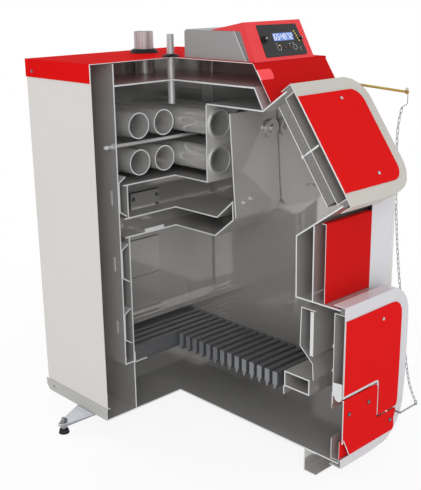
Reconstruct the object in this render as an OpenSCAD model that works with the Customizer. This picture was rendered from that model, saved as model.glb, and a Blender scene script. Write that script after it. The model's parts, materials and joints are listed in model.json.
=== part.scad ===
// Solid fuel boiler shown in section: the front left quarter is cut away.
// Millimetres, +Z up, the doors face -Y. Local frame: X from the middle of the
// casing, Y from the cross section plane, Z from the underside of the base plate.

/* [Casing] */
// Outer width of the casing
case_w = 602; // [560:1:640]
// Back face of the casing behind the cross section plane
back_y = 316; // [290:1:340]
// Top of the lid above the base plate
lid_z = 1067; // [1040:1:1100]
// Depth of the lid's turned down skirt
skirt_h = 52; // [30:1:60]
// Front edge of the lid's flat top, in front of the cross section plane
lid_front = 324; // [300:1:340]
// Height of the grey sills along the sides
sill_h = 38; // [25:1:60]
// Sheet thickness of the casing panels
sheet_t = 2; // [1:0.5:3]
// Height of the base plate's underside above the floor
foot_h = 70; // [50:1:100]
// Front plane of the fixed red panel between the doors
front_y = -587; // [-600:1:-575]

/* [Cutaway] */
// Where the lengthways section plane stands, left of the middle
cut_x = -5; // [-20:1:-2]

/* [Pressure body] */
// Thickness of the boiler plate
plate_t = 4; // [3:0.5:6]
// Half width between the middles of the two inner side walls
inner_hw = 190; // [175:1:200]
// Half width between the middles of the two outer side walls
outer_hw = 223; // [212:1:240]
// Bottom of the water jacket
jacket_z0 = 160; // [120:1:180]
// Top plate of the water jacket
jacket_z1 = 1002; // [980:1:1010]
// Inner back wall of the firebox
fire_back = 172; // [150:1:190]
// Outer back wall of the water jacket
shell_back = 236; // [232:1:250]
// Floor of the water space round the tubes
tube_floor_z = 716; // [700:1:725]
// Ceiling of the front turning chamber
turn_top_z = 943; // [935:1:950]
// Front tube plate
tube_plate_y = -141; // [-150:1:-130]

/* [Fire tubes] */
// Outer radius of a fire tube
tube_r = 38.05; // [30:0.05:40]
// Wall of a fire tube
tube_wall = 3.2; // [2:0.1:5]
// Distance of the inner pair of tubes from the middle
tube_x1 = 44; // [42:1:50]
// Pitch from the inner tube to the outer tube
tube_pitch = 94; // [84:1:96]
// Height of the lower row
tube_z1 = 775; // [765:1:785]
// Height of the upper row
tube_z2 = 882; // [870:1:890]

/* [Pipes] */
// Outer radius of the flow and return pipes, 2 inch
pipe_r = 30.15; // [24:0.05:32]
// Outer radius of the sensor sleeve, half inch
sleeve_r = 10.65; // [8:0.05:14]
// Outer radius of the flue spigot
flue_r = 80; // [70:0.5:90]
// Radius of the threaded end of the 2 inch pipes
pipe_end_r = 29.8; // [23.6:0.05:31.6]
// Radius of the threaded end of the sensor sleeve
sleeve_end_r = 10.48; // [7.8:0.01:13.8]
// Length of the flue spigot behind the casing
flue_len = 70; // [50:1:90]

/* [Grate] */
// Number of grate bars
bars = 19; // [15:1:21]
// Pitch of the grate bars
bar_pitch = 31; // [28:0.5:34]
// Top of the grate
grate_z = 200; // [190:1:210]

/* [Upper door] */
// Lean of the loading mouth from the horizontal, degrees
slope_a = 54.6; // [52:0.1:57]
// Height of the loading mouth along its slope
mouth_len = 334; // [320:1:340]
// How far both doors stay in from the casing's sides
door_in = 14; // [11:1:25]
// Depth of the doors' turned back rim
rim_d = 39; // [30:1:42]

/* [Lower door] */
// Outer face of the lower door
door_y = -661; // [-670:1:-655]
// Top of the lower door
door_z1 = 460; // [450:1:468]
// Underside of the ash door mouth
ash_top_z = 449; // [440:1:455]
// Top of the air flap's tongue
tongue_z = 195; // [185:1:205]
// Half width of the air flap's tongue
tongue_hw = 149; // [130:1:160]
// Top of the air flap's wide foot
flap_foot_z = 88; // [75:1:95]

/* [Control unit] */
// Height of the grey housing above the lid
unit_h = 80; // [60:1:95]
// Height of the hood's front edge above the lid
hood_h = 104; // [96:1:120]

/* [Door hinges] */
// How far both doors' hinge pins are in from the casing's side
hinge_in = 25; // [21:1:33]
// Radius of the hinge pins
hinge_r = 5; // [3:0.5:6]

/* [Draught control] */
// How far the lever and chain are out from the casing's side
lever_out = 11; // [10:1:17]
// Height of the lever's pivot
lever_z = 994; // [985:1:1000]
// Length of the lever
lever_len = 204; // [190:1:215]

/* [Hidden] */
$fn = 40;
e = 0.01;
hw = case_w/2;
door_hw = hw - door_in;
hinge_x = hw - hinge_in;
lever_x = hw + lever_out;
inner_face = inner_hw - plate_t/2;        // firebox side of an inner wall
flue_end = back_y + flue_len;
hook_y = door_y - 22;                     // furthest point of the flap's arm
mid_y = (flue_end + hook_y)/2;
// loading mouth: its top lip, and the directions down the slope and outwards
lip = [-445, 1001.6];
dn = [-cos(slope_a), -sin(slope_a)];
out = [-sin(slope_a), cos(slope_a)];
function sp(d, n) = lip + d*dn + n*out;   // point on the sloping mouth, [y, z]
lip2 = sp(mouth_len, 0);
throat = [-486, 622];                     // inner end of the mouth's bottom plate
jacket_f = -488;                          // inner plate of the front jacket
mid_back = -546;                          // outer plate of the front jacket
frame_n = -27;                            // sheet beside the loading mouth, in from its lip
skin_n = 22;                              // outer face of the upper door
bolt_x = cut_x + 2;                       // centre bolt of the upper door's heat shield
inlay_hw = door_hw - 36;                  // half width of the red inlay on both doors
pin_n = 2;                                // upper hinge axis, out from the mouth's lip
pin_y = door_y + 20;                      // lower hinge axis
flap_axis = [door_y + 4, tongue_z - 2.5];
unit_x = [6, 250];                        // control unit, left side and foot of the right side
hood_lean = atan(46/103);
chain_x = lever_x + 4.6;
arm_x = door_hw - 49;                     // the flap's arm, near its wide foot's end
channel = [560, 617];                     // bottom and top plate of the water channel
low = [hook_y + 2.5, 84];                 // lower end of the chain
tip = [-395 - lever_len*cos(3), lever_z - lever_len*sin(3)];

// ---- helpers ----
module place() translate([0, -mid_y, foot_h]) children();
module box(a, b) translate(a) cube(b - a);
// the front left quarter, taken out of everything but the whole parts
module cut() difference() { children(); box([-900, -1200, -300], [cut_x, 0, 1500]); }
module along_x(x0, x1) translate([x0, 0, 0]) rotate([90, 0, 90]) linear_extrude(x1 - x0) children();
module along_y(y0, y1) translate([0, y1, 0]) rotate([90, 0, 0]) linear_extrude(y1 - y0) children();
module on_slope() translate([0, lip[0], lip[1]]) rotate([slope_a, 0, 0]) children();
module on_hood() translate([0, -278, lid_z + hood_h]) rotate([90 - hood_lean, 0, 0]) children();
module both() { children(); mirror([1, 0, 0]) children(); }

// bent sheet: a polyline thickened to t with true mitres at every fold
function nrm(a, b) = let (d = b - a) [-d[1], d[0]]/norm(d);
function side(p, i, h) = let (n = len(p) - 1)
  i == 0 ? p[0] + h*nrm(p[0], p[1]) :
  i == n ? p[n] + h*nrm(p[n-1], p[n]) :
  let (m = (nrm(p[i-1], p[i]) + nrm(p[i], p[i+1]))/2) p[i] + h*m/(m*m);
module bent(p, t) polygon(concat([for (i = [0:len(p)-1]) side(p, i, t/2)],
                                 [for (i = [len(p)-1:-1:0]) side(p, i, -t/2)]));
// rectangle with cut corners, centred on x, from y0 to y1
module chamfered(w, y0, y1, c0, c1) polygon([[-w, y0 + c0], [-w + c0, y0], [w - c0, y0],
  [w, y0 + c0], [w, y1 - c1], [w - c1, y1], [-w + c1, y1], [-w, y1 - c1]]);
// outline given by its right half, mirrored, its corners eased by r
module outline(p, r) offset(r = r, $fn = 64) offset(delta = -r)
  polygon(concat(p, [for (i = [len(p)-1:-1:0]) [-p[i][0], p[i][1]]]));
module ring(r, t, h) difference() {
  cylinder(r = r, h = h);
  translate([0, 0, -1]) cylinder(r = r - t, h = h + 2);
}
// pipe with a threaded end of radius re over the last le
module piped(r, re, t, h, le) difference() {
  union() { cylinder(r = r, h = h - le); translate([0, 0, h - le]) cylinder(r = re, h = le); }
  translate([0, 0, -1]) cylinder(r = r - t, h = h + 2);
}

// ---- base and feet ----
module base_plate() color("dimgray") place() cut() {
  box([-hw + 2.5, front_y + 3, 0], [hw - 2.5, back_y - 3, plate_t]);
  box([-inner_hw + 3, -650, 0], [inner_hw - 3, front_y + 4, plate_t]);
}
// folded sill: its rear bottom corner is cut off
module sill(y0) {
  along_x(hw + 0.4, hw + 2.4) polygon([[y0, -1], [back_y - 8, -1], [back_y + 9, 14], [back_y + 9, sill_h],
    [y0, sill_h]]);
  along_x(hw - 12, hw + 0.5) polygon([[y0, sill_h - 2], [back_y - 4, sill_h - 2], [back_y - 4, sill_h],
    [y0, sill_h]]);
}
module sills() color("silver") place() cut() { mirror([1, 0, 0]) sill(0); sill(front_y + 4); }
module front_rail() color("gray") place() cut() along_x(-262, 262)
  bent([[-569, -1.5], [-528.5, -1.5], [-528.5, -foot_h + 1.5], [-571, -foot_h + 1.5]], 3);
module bracket() difference() {
  hull() {
    box([hw - 8, 65, -5], [hw - 1, 157, -1.2]);
    translate([366, 146, -44]) cylinder(r = 17, h = 4);
  }
  translate([366, 146, -80]) cylinder(r = 6.5, h = 100);
  translate([366, 146, -40]) cylinder(r = 12, h = 40);
}
module foot_brackets() color("lightsteelblue") place() both() bracket();
module screw() translate([366, 146, 0]) {
  translate([0, 0, -foot_h + 6.1]) cylinder(r = 6, h = 44);
  translate([0, 0, -44.2 - 8]) cylinder(r = 10.5, h = 8, $fn = 6);
  translate([0, 0, -39.8]) cylinder(r = 11.5, h = 2);
  translate([0, 0, -37.8]) cylinder(r = 10.5, h = 8, $fn = 6);
}
module foot_screws() color("gray") place() both() screw();
module pad() translate([366, 146, -foot_h]) difference() {
  cylinder(r1 = 17, r2 = 14, h = 12);
  translate([0, 0, 6]) cylinder(r = 6.1, h = 10);
}
module foot_pads() color("black") place() both() pad();

// ---- casing ----
module side_panels() color("gainsboro") place() {
  cut() box([-hw + e, 0, sill_h + 0.5], [-hw + sheet_t, back_y - 2.2, lid_z - 3]);
  along_x(hw - sheet_t, hw - e) polygon([
    [back_y - 2.2, sill_h + 0.5], [back_y - 2.2, lid_z - 3], [-lid_front + 2, lid_z - 3],
    sp(-4, -66), sp(-4, frame_n), [front_y, 757], [front_y, sill_h + 0.5]]);
  // the front edge is turned in beside the column
  box([hw - 11.5, front_y, sill_h + 0.5], [hw - 1, front_y + 2, 750]);
}
module back_panel() color("gainsboro") place() difference() {
  box([-hw + e, back_y - 2, sill_h + 0.5], [hw - e, back_y, lid_z - 3]);
  translate([0, back_y + 5, 845]) rotate([90, 0, 0]) cylinder(r = flue_r + 3, h = 20);
  translate([120, back_y + 5, 235]) rotate([90, 0, 0]) cylinder(r = pipe_r + 4, h = 20);
}
module top_cover() color("firebrick") place() cut() difference() {
  union() {
    box([-hw - 2, -lid_front, lid_z - 2], [hw + 2, back_y + 2.5, lid_z]);
    for (s = [-1, 1]) translate([s*(hw + 1.1), 0, 0])
      box([-0.9, -lid_front, lid_z - skirt_h], [0.9, back_y + 2.5, lid_z - 1]);
    box([-hw - 2, back_y + 0.5, lid_z - skirt_h], [hw + 2, back_y + 2.5, lid_z - 1]);
  }
  translate([55, 200, lid_z - 10]) cylinder(r = pipe_r + 1, h = 20);
  translate([0, 12, lid_z - 10]) cylinder(r = sleeve_r + 1, h = 20);
}
// sloping cover with the raised badge place left bare
module slope_cover() color("firebrick") place() {
  cut() along_x(-hw + 6, hw - 6) bent([[-lid_front - 1.1, lid_z - 2.2], sp(-5, -64)], 2);
  cut() translate([0, -lid_front - 1.1, lid_z - 2.2]) rotate([90 - 34, 0, 0]) translate([0, 0, 0.5])
    linear_extrude(2.7) offset(r = 10, $fn = 48) offset(delta = -10)
      polygon([[cut_x - 20, -19.5], [50, -19.5], [50, -50.3], [cut_x - 20, -50.3]]);
}
module middle_panel() color("firebrick") place() cut()
  along_x(-inner_hw - plate_t/2 + 0.2, inner_hw + plate_t/2 - 0.2)
  bent([[front_y + 15, 671.5], [front_y + 1, 671.5], [front_y + 1, ash_top_z + 3.2]], 2);
// one sheet from the floor to the lid, beside both mouths
module front_frame() color("whitesmoke") place() along_x(inner_hw + plate_t/2 + 0.3, hw - 12)
  bent([[front_y + 1, 5], [front_y + 1, 756.5], sp(-3, frame_n)], 2);

// ---- control unit ----
module flared() difference() {
  children();
  translate([unit_x[1], -500, lid_z]) rotate([0, -8.2, 0]) translate([0, 0, -50]) cube([100, 700, 300]);
}
module control_housing() color("gray") place() flared() difference() {
  along_x(unit_x[0], unit_x[1]) polygon([[-43, lid_z + 0.3], [-43, lid_z + unit_h - 6],
    [-49, lid_z + unit_h], [-266, lid_z + unit_h], [-302, lid_z + 0.3]]);
  // groove between the housing and its darker front strip
  along_x(unit_x[0] - 1, unit_x[0] + 2) bent([[-242.6, lid_z + 81], [-290, lid_z - 1]], 2);
}
module control_hood() color("firebrick") place() flared() difference() {
  along_x(unit_x[0], unit_x[1]) polygon([[-150, lid_z + unit_h + 0.2], [-278, lid_z + hood_h],
    [-323.5, lid_z + 0.3], [-302.4, lid_z + 0.3], [-266.3, lid_z + unit_h + 0.2]]);
  on_hood() translate([0, 0, -2.5]) linear_extrude(10) fascia_shape(0);
}
module fascia_shape(g) offset(delta = -g) offset(r = 4) offset(delta = -4)
  polygon([[50, -10], [212, -12], [226, -97], [222, -103], [57, -103], [54, -98]]);
module control_fascia() color("#222222") place() on_hood() difference() {
  translate([0, 0, -2.4]) linear_extrude(3) fascia_shape(0.2);
  translate([0, 0, -0.8]) linear_extrude(3) translate([104, -58.6]) square([83, 22.5]);
}
module control_buttons() color("black") place() on_hood() translate([0, 0, 0.65]) {
  translate([67, -52, 0]) { cylinder(r = 11, h = 2); cylinder(r1 = 9, r2 = 8, h = 11); }
  translate([215, -56, 0]) cylinder(r1 = 4.2, r2 = 3.8, h = 7);
  for (p = [[118, 79], [140, 79], [157.5, 79], [183, 79], [203.6, 86]])
    translate([p[0], -p[1], 0]) cylinder(r1 = 4, r2 = 3.6, h = 1.8, $fn = 24);
}

// ---- pipes ----
module flow_pipe() color("gray") place() translate([55, 200, jacket_z1 + plate_t/2])
  piped(pipe_r, pipe_end_r, 3.6, lid_z + 65 - jacket_z1 - plate_t/2, 40);
module sensor_sleeve() color("gray") place() translate([0, 12, 932])
  piped(sleeve_r, sleeve_end_r, 2.6, lid_z + 65 - 932, 30);
module collar(r0, r1, ri, h) rotate_extrude() polygon([[ri, 0], [r0, 0], [r0, 2], [r0 - 3, 4],
  [(r0 + r1)/2 + 1, 5], [(r0 + r1)/2, h - 3], [r1 + 1, h - 2], [r1, h], [ri, h]]);
module pipe_collars() color("#1c1c1c") place() {
  translate([55, 200, lid_z + 0.1]) collar(44, 33, pipe_r + 0.3, 13);
  cut() translate([0, 12, lid_z + 0.1]) collar(26, 14, sleeve_r + 0.3, 9);
}
module return_pipe() color("gray") place() translate([120, shell_back + plate_t/2, 235]) rotate([-90, 0, 0])
  piped(pipe_r, pipe_end_r, 3.6, flue_end - 10 - shell_back - plate_t/2, 40);

// ---- pressure body ----
outer_prof = [[shell_back - 2, jacket_z0], [shell_back - 2, lid_z - 4], [-300, lid_z - 4], [-338, jacket_z1],
  [-383, 952], [mid_back + 2, 765], [mid_back + 2, jacket_z0]];
inner_prof = [[fire_back - 2, plate_t], [fire_back - 2, tube_floor_z - 2],
  [tube_plate_y + 2, tube_floor_z - 2],
  [tube_plate_y + 2, turn_top_z - 2], [-361, turn_top_z - 2], [lip[0] + 1.2, lip[1] - 2.5], lip2 + [2, 3],
  throat + [0, 3], [jacket_f, 600], [jacket_f, ash_top_z - 3], [-641, ash_top_z - 3], [-650, plate_t]];
tie_z = 832;
module outer_walls() color("dimgray") place() cut() both() difference() {
  union() {
    along_x(outer_hw - plate_t/2, outer_hw + plate_t/2) polygon(outer_prof);
    // floor of the side jacket, folded in to the inner wall
    box([inner_hw + plate_t/2 + 0.1, mid_back + 2, jacket_z0],
      [outer_hw, shell_back - 2, jacket_z0 + plate_t]);
    // front of the side jacket, up to the lid
    along_x(inner_hw + plate_t/2 + 0.1, outer_hw)
      bent([[mid_back + 4, jacket_z0], [mid_back + 4, 764], [-381, 952], [-345, 990]], plate_t);
  }
  translate([0, 9, tie_z]) rotate([0, 90, 0]) cylinder(r = 5.3, h = 400);
}
module inner_wall() difference() {
  along_x(inner_hw - plate_t/2, inner_hw + plate_t/2) polygon(inner_prof);
  // the side jackets feed the water baffle through this slot
  translate([inner_hw, 0, 0])
    box([-10, -171, channel[0] - plate_t/2 - 0.2], [10, 61, channel[1] + plate_t/2 + 0.2]);
}
module inner_walls() color("gray") place() cut() both() inner_wall();
module jacket_top() color("dimgray") place() cut() difference() {
  along_x(-outer_hw + plate_t/2 + 0.1, outer_hw - plate_t/2 - 0.1)
    bent([[shell_back - 2, jacket_z1], [-330, jacket_z1], [-361, turn_top_z + 4.4]], plate_t);
  translate([55, 200, jacket_z1 - 10]) cylinder(r = pipe_r - 3.6, h = 20);
  translate([0, 12, jacket_z1 - 10]) cylinder(r = sleeve_r + 0.3, h = 20);
  // room for the fronts of the side jackets
  both() box([inner_hw, -500, 930], [outer_hw + 5, -333, 999]);
}
module tube_at()
  for (x = [-tube_x1 - tube_pitch, -tube_x1, tube_x1, tube_x1 + tube_pitch], z = [tube_z1, tube_z2])
  translate([x, 0, z]) rotate([90, 0, 0]) children();
module back_plates() color("dimgray") place() difference() {
  union() {
    box([-outer_hw + 2.1, shell_back - 2, jacket_z0], [outer_hw - 2.1, shell_back + 2, lid_z - 4]);
    box([-inner_hw - 2, fire_back - 2 + e, plate_t], [inner_hw + 2, fire_back + 2, tube_floor_z + 2]);
  }
  tube_at() translate([0, 0, -300]) cylinder(r = tube_r + 0.1, h = 600);
  translate([120, 300, 235]) rotate([90, 0, 0]) cylinder(r = pipe_r - 3.6, h = 110);
}
module front_tube_plate() color("gray") place() cut() difference() {
  box([-inner_face + 0.1, tube_plate_y - 2, tube_floor_z - 2],
    [inner_face - 0.1, tube_plate_y + 1.9, turn_top_z - 2.1]);
  tube_at() translate([0, 0, -300]) cylinder(r = tube_r + 0.1, h = 600);
}
module fire_tubes() color("darkgray") place() cut() tube_at()
  translate([0, 0, -shell_back - 6]) ring(tube_r, tube_wall, shell_back + 6 - tube_plate_y + 5);
module tube_floor() color("gray") place() cut()
  box([-inner_hw - 14, tube_plate_y + 2.1, tube_floor_z - 1.9],
    [inner_hw + 14, fire_back - 2, tube_floor_z + 2.1]);
module water_baffle() color("gray") place() cut() {
  along_x(-inner_face + 0.1, inner_face - 0.1)
    bent([[60, channel[1]], [-181, channel[1]], [-245, 673], [-247, 620], [-172, channel[0]],
      [60, channel[0]], [60, channel[1] - plate_t/2 - 0.2]], plate_t);
  // the channel runs on through both inner walls
  both() along_x(inner_face - 1, inner_hw + 14) for (z = channel) translate([-170.5, z - plate_t/2])
    square([60 + 170.5, plate_t]);
  box([-128, -15, 562], [-55, 5, 572]);
}
module mouth_top_plate() color("gray") place() cut() along_x(-inner_face + 0.1, inner_face - 0.1)
  bent([[tube_plate_y - 2.2, turn_top_z], [-361.5, turn_top_z], lip], plate_t);
module front_jacket() color("gray") place() cut() along_x(-inner_face + 0.1, inner_face - 0.1) {
  bent([lip2, throat, [jacket_f, ash_top_z], [-641, ash_top_z]], plate_t);
  bent([[mid_back, ash_top_z + 2], [mid_back, 661]], plate_t);
}
module stay(z0, z1) translate([-outer_hw + plate_t/2 + 1.6, 0, 0]) along_y(0, 190)
  bent([[24, z1 + 15], [0, z1], [0, z0], [24, z0 - 16]], 3);
module wall_stays() color("silver") place() {
  for (z = [[640, 726], [438, 524], [240, 322]]) {
    stay(z[0], z[1]);
    // plug weld on the outside of the wall
    box([-outer_hw - plate_t/2 - 2, 27, z[0] + 17], [-outer_hw - plate_t/2 - 0.05, 35, z[1] - 25]);
  }
  translate([-outer_hw - 26, 9, tie_z]) rotate([0, 90, 0]) cylinder(r = 5, h = 2*outer_hw + 52);
  for (s = [-1, 1]) translate([s*(outer_hw + plate_t/2 + (s > 0 ? 0.1 : 8.1)), 9, tie_z]) rotate([0, 90, 0])
    cylinder(r = 9, h = 8, $fn = 6);
  box([outer_hw - plate_t/2 - 4, 68, 908], [outer_hw - plate_t/2 - 0.05, 111, jacket_z1 - plate_t/2 - 0.1]);
  box([outer_hw - plate_t/2 - 4, 68, jacket_z1 + plate_t/2 + 0.1], [outer_hw - plate_t/2 - 0.05, 111, 1045]);
}
module rear_fire_plates() color("gray") place() {
  for (z = [[236, 357], [361, 482]]) box([-61, fire_back - 9, z[0]], [61, fire_back - 2.2, z[1]]);
  along_x(-inner_face + 0.2, inner_face - 0.2)
    bent([[fire_back - 2.2, 227], [fire_back - 28, 227], [fire_back - 28, 212]], 4);
}

// ---- grate and ash space ----
module grate() color("#303338") place() cut() for (i = [0:bars-1]) translate([0, -413 + i*bar_pitch, 0]) {
  along_x(-135, 135) polygon([[-9, grate_z], [9, grate_z], [8, grate_z - 12], [3.5, grate_z - 52],
    [-3.5, grate_z - 52], [-8, grate_z - 12]]);
  box([-inner_face + 3.6, -9, 160.1], [inner_face - 3.6, 9, grate_z - 1]);
}
module grate_supports() color("gray") place() cut() {
  both() translate([-inner_face + 0.1, 0, 0]) along_y(-440, fire_back - 4)
    bent([[1.5, 193], [1.5, 158.5], [48, 158.5]], 3);
  along_x(-inner_face + 0.1, inner_face - 0.1) {
    difference() {
      polygon([[-449, 216.5], [-541.5, 216.5], [-541.5, 168.5], [-449, 168.5]]);
      polygon([[-453, 212.5], [-537.5, 212.5], [-537.5, 172.5], [-453, 172.5]]);
    }
    polygon([[-449, 169], [-445.5, 169], [-445.5, 143], [-449, 143]]);
  }
}
module ash_guard() color("silver") place() cut() along_x(-inner_face + 4, inner_face - 4) {
  bent([[-558, 424], [-508, 424], [-505, 310], [-551, 269], [-554, 220]], 3);
  polygon([[-540, 420], [-552, 420], [-552, 290], [-540, 290]]);
}

// ---- turning chamber and smoke box ----
// dished flap plate with a lock boss at its right edge
module cleaning_door() color("darkgray") place() cut() {
  intersection() {
    along_x(-inner_face + 3, inner_face - 3) bent([[-236, 924], [-252, 700], [-258, 629]], 4);
    along_y(-300, -200) chamfered(inner_face - 3, 629, 925, 24, 4);
  }
  translate([inner_face - 32, -243, 866]) rotate([94, 0, 0]) {
    cylinder(r = 28, h = 8);
    cylinder(r = 12, h = 14);
  }
}
module smoke_box() color("dimgray") place() difference() {
  union() {
    box([-196, shell_back + 2.1, 700], [196, back_y - 22, 950]);
    translate([0, back_y - 24, 845]) rotate([-90, 0, 0]) cylinder(r = flue_r - 2.5, h = 36);
    translate([0, back_y + 10, 845]) rotate([-90, 0, 0]) cylinder(r = flue_r, h = flue_len - 10);
  }
  box([-193, shell_back + 2, 703], [193, back_y - 25, 947]);
  translate([0, shell_back + 20, 845]) rotate([-90, 0, 0]) cylinder(r = flue_r - 4.5, h = 400);
}

// ---- hinges: the pins run along the local z axis of hinge_at ----
upper_hinges = [94, 246];
lower_hinges = [176, 334];
module upper_hinge_at() for (d = upper_hinges) on_slope()
  translate([hinge_x, -d, pin_n]) rotate([-90, 0, 0]) children();
module lower_hinge_at() for (z = lower_hinges) translate([hinge_x, pin_y, z]) children();
// two ears of reach h on a foot, with the pin through them; local -y is outwards
module bracket_ears(h) {
  for (z = [-20, 16]) translate([0, 0, z]) linear_extrude(4) {
    circle(r = 8);
    translate([-8, 0]) square([16, h - 0.1]);
  }
  translate([-13, h - 1.7, -22]) cube([26, 1.6, 44]);
  translate([0, 0, -23]) cylinder(r = hinge_r, h = 46);
}
module hinge_brackets() color("silver") place() {
  upper_hinge_at() bracket_ears(pin_n - frame_n - 1);
  lower_hinge_at() bracket_ears(front_y - pin_y);
}
// knuckle on the door, with its web out to the skin's inner face at reach h
module knuckle(h) translate([0, 0, -15.5]) linear_extrude(31) difference() {
  union() { circle(r = 8.5); translate([-3, -h]) square([6, h]); }
  circle(r = hinge_r + 0.25);
}

// ---- upper door: local frame x, up the slope, outwards ----
upper_pts = concat([for (p = [[71, 10], [41, 1], [22, -13], [6, -34], [0, -56], [0, -267], [7, -291],
  [25, -317], [46, -332], [72, -341]]) [door_hw - p[0], p[1]]], [[150, -mouth_len - 13]]);
module upper_door_skin() color("whitesmoke") place() cut() {
  difference() {
    on_slope() difference() {
      translate([0, 0, skin_n - rim_d]) linear_extrude(rim_d) outline(upper_pts, 10);
      translate([0, 0, skin_n - rim_d - 1]) linear_extrude(rim_d - 1)
        offset(delta = -2) outline(upper_pts, 10);
      // notches that let the rim past the hinge ears
      for (d = upper_hinges) box([hinge_x + 3, -d - 24, -30], [hinge_x + 30, -d + 24, 16]);
    }
  }
  upper_hinge_at() knuckle(skin_n - 1.9 - pin_n);
}
module upper_door_panel() color("crimson") place() cut() on_slope()
  translate([0, 0, skin_n + 0.05]) linear_extrude(3)
    outline([[inlay_hw, -29], [inlay_hw, -309]], 42);
module upper_door_pan() color("gray") place() cut() on_slope() {
  difference() {
    translate([0, 0, -15]) linear_extrude(skin_n - 2.1 + 15)
      chamfered(inner_face - 8, -mouth_len + 10, -12, 3, 3);
    translate([0, 0, -13]) linear_extrude(100) chamfered(inner_face - 10, -mouth_len + 12, -14, 3, 3);
  }
  // heat shield on its centre bolt
  translate([0, 0, -47.5]) linear_extrude(2.5) chamfered(inner_face - 10, -mouth_len + 20, -20, 3, 3);
  translate([bolt_x, -mouth_len/2, -34]) cylinder(r = 3, h = 50);
  translate([bolt_x, -mouth_len/2, -52]) cylinder(r = 2.4, h = 20);
  translate([bolt_x, -mouth_len/2, -51.5]) cylinder(r = 5.5, h = 4.2, $fn = 6);
}
module upper_door_lining() color("darkgray") place() cut() on_slope() {
  difference() {
    translate([0, 0, -44.9]) linear_extrude(29.8) chamfered(inner_face - 14, -mouth_len + 22, -22, 3, 3);
    translate([bolt_x, -mouth_len/2, -60]) cylinder(r = 3.2, h = 100);
  }
  // rope seal round the pan
  translate([0, 0, 0.4]) linear_extrude(skin_n - 2.6) difference() {
    chamfered(inner_face + 12, -mouth_len - 6.5, 7.9, 14, 14);
    chamfered(inner_face - 7.9, -mouth_len + 9.9, -11.9, 3, 3);
  }
}

// ---- lower door ----
module door_face(y) translate([0, y, 0]) rotate([90, 0, 0]) children();
lower_pts = concat([for (p = [[75, door_z1], [49, 453], [29, 438], [11, 415], [2, 389], [0, 355], [0, 190],
  [3, 150], [8, 94], [17, 62], [31, 38], [51, 17], [74, 1], [87, -5]]) [door_hw - p[0], p[1]]],
  [[150, -10], [100, -12]]);
module lower_door_skin() color("whitesmoke") place() cut() {
  difference() {
    door_face(door_y + rim_d + 3) linear_extrude(rim_d) outline(lower_pts, 10);
    door_face(door_y + rim_d + 4) linear_extrude(rim_d - 1) offset(delta = -2) outline(lower_pts, 10);
    for (z = lower_hinges) box([hinge_x + 3, pin_y - 10, z - 24], [hinge_x + 30, pin_y + 60, z + 24]);
    // air opening behind the flap, and the window behind its notch
    door_face(door_y + 30) linear_extrude(60) {
      translate([-tongue_hw + 20, 70]) square([2*tongue_hw - 40, tongue_z + 1.5 - 70]);
      translate([-tongue_hw - 0.5, tongue_z - 9]) square([2*tongue_hw + 1, 12]);
      both() translate([tongue_hw + 4, flap_foot_z - 2]) square([arm_x - 9 - tongue_hw, 8]);
      polygon([[-32, 16], [32, 16], [6, 72], [-6, 72]]);
    }
  }
  lower_hinge_at() knuckle(pin_y - door_y - 4.9);
}
module lower_door_panel() color("crimson") place() cut() {
  difference() {
    door_face(door_y + 2.95) linear_extrude(3)
      outline([for (p = [[46, 421], [25, 418], [11, 408], [2, 392], [0, 371], [0, 200], [2, 108], [6, 95],
        [11, flap_foot_z + 5.5]]) [inlay_hw - p[0], p[1]]], 3);
    door_face(door_y + 5) linear_extrude(10)
      outline([[tongue_hw + 9, 0], [tongue_hw + 9, tongue_z + 12]], 16);
  }
  // dark plate seen through the flap's notch
  box([-36, door_y + 10, 14], [36, door_y + 12, 68]);
}
module lower_door_pan() color("gray") place() cut() {
  difference() {
    door_face(door_y + 37 + 2) linear_extrude(33.9) chamfered(inner_face - 8, 9, 438, 3, 3);
    door_face(door_y + 37) linear_extrude(60) chamfered(inner_face - 10, 11, 436, 3, 3);
    door_face(door_y + 60) linear_extrude(100) translate([-300, 72]) square([600, 103]);
  }
  // thin plate behind the pan's lower edge, and the flap's ear on it
  box([-inner_face + 16, door_y + 39.05, 160], [inner_face - 16, door_y + 40.5, 210]);
  along_x(cut_x, cut_x + 3) {
    translate([door_y + 19.5, 199]) circle(r = 12.5);
    polygon([[door_y + 7, 199], [door_y + 7, 241], [door_y + 37.1, 238], [door_y + 37.1, 199]]);
  }
}
// rope seal round the ash mouth
module lower_door_seal() color("darkgray") place() cut() difference() {
  union() {
    door_face(-650.5) linear_extrude(5.2) chamfered(inner_face + 12, -3.5, 457, 14, 14);
    box([-inner_face + 2, -655.7, 440], [inner_face - 2, -641.5, 457]);
  }
  door_face(0) linear_extrude(900) chamfered(inner_face - 7.9, 8.9, 438.1, 3, 3);
}
// flap with its wide foot, V notch, hinge rod and the arm that takes the chain
module air_flap() color("crimson") place() cut() {
  difference() {
    door_face(door_y + 2.5) linear_extrude(3) {
      outline([[tongue_hw, tongue_z], [tongue_hw, flap_foot_z - 30]], 12);
      outline([for (p = [[-1, flap_foot_z], [-4, 79], [5, 58], [2, 32], [7, 21]]) [arm_x - p[0], p[1]]], 3);
    }
    door_face(door_y + 10) linear_extrude(20) polygon([[-27, 19], [27, 19], [0, 75]]);
  }
  translate([-tongue_hw + 21, flap_axis[0], flap_axis[1]]) rotate([0, 90, 0])
    cylinder(r = 1.9, h = 2*tongue_hw - 42, $fn = 24);
  translate([arm_x, door_y - 0.4, 78]) rotate([90, 0, 0]) cylinder(r = 2.5, h = 21.6, $fn = 16);
  translate([arm_x, hook_y + 2.5, 78]) rotate([0, 90, 0])
    cylinder(r = 2.5, h = chain_x + 5 - arm_x, $fn = 16);
  translate([arm_x, hook_y + 2.5, 78]) sphere(r = 2.5, $fn = 16);
}

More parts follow.
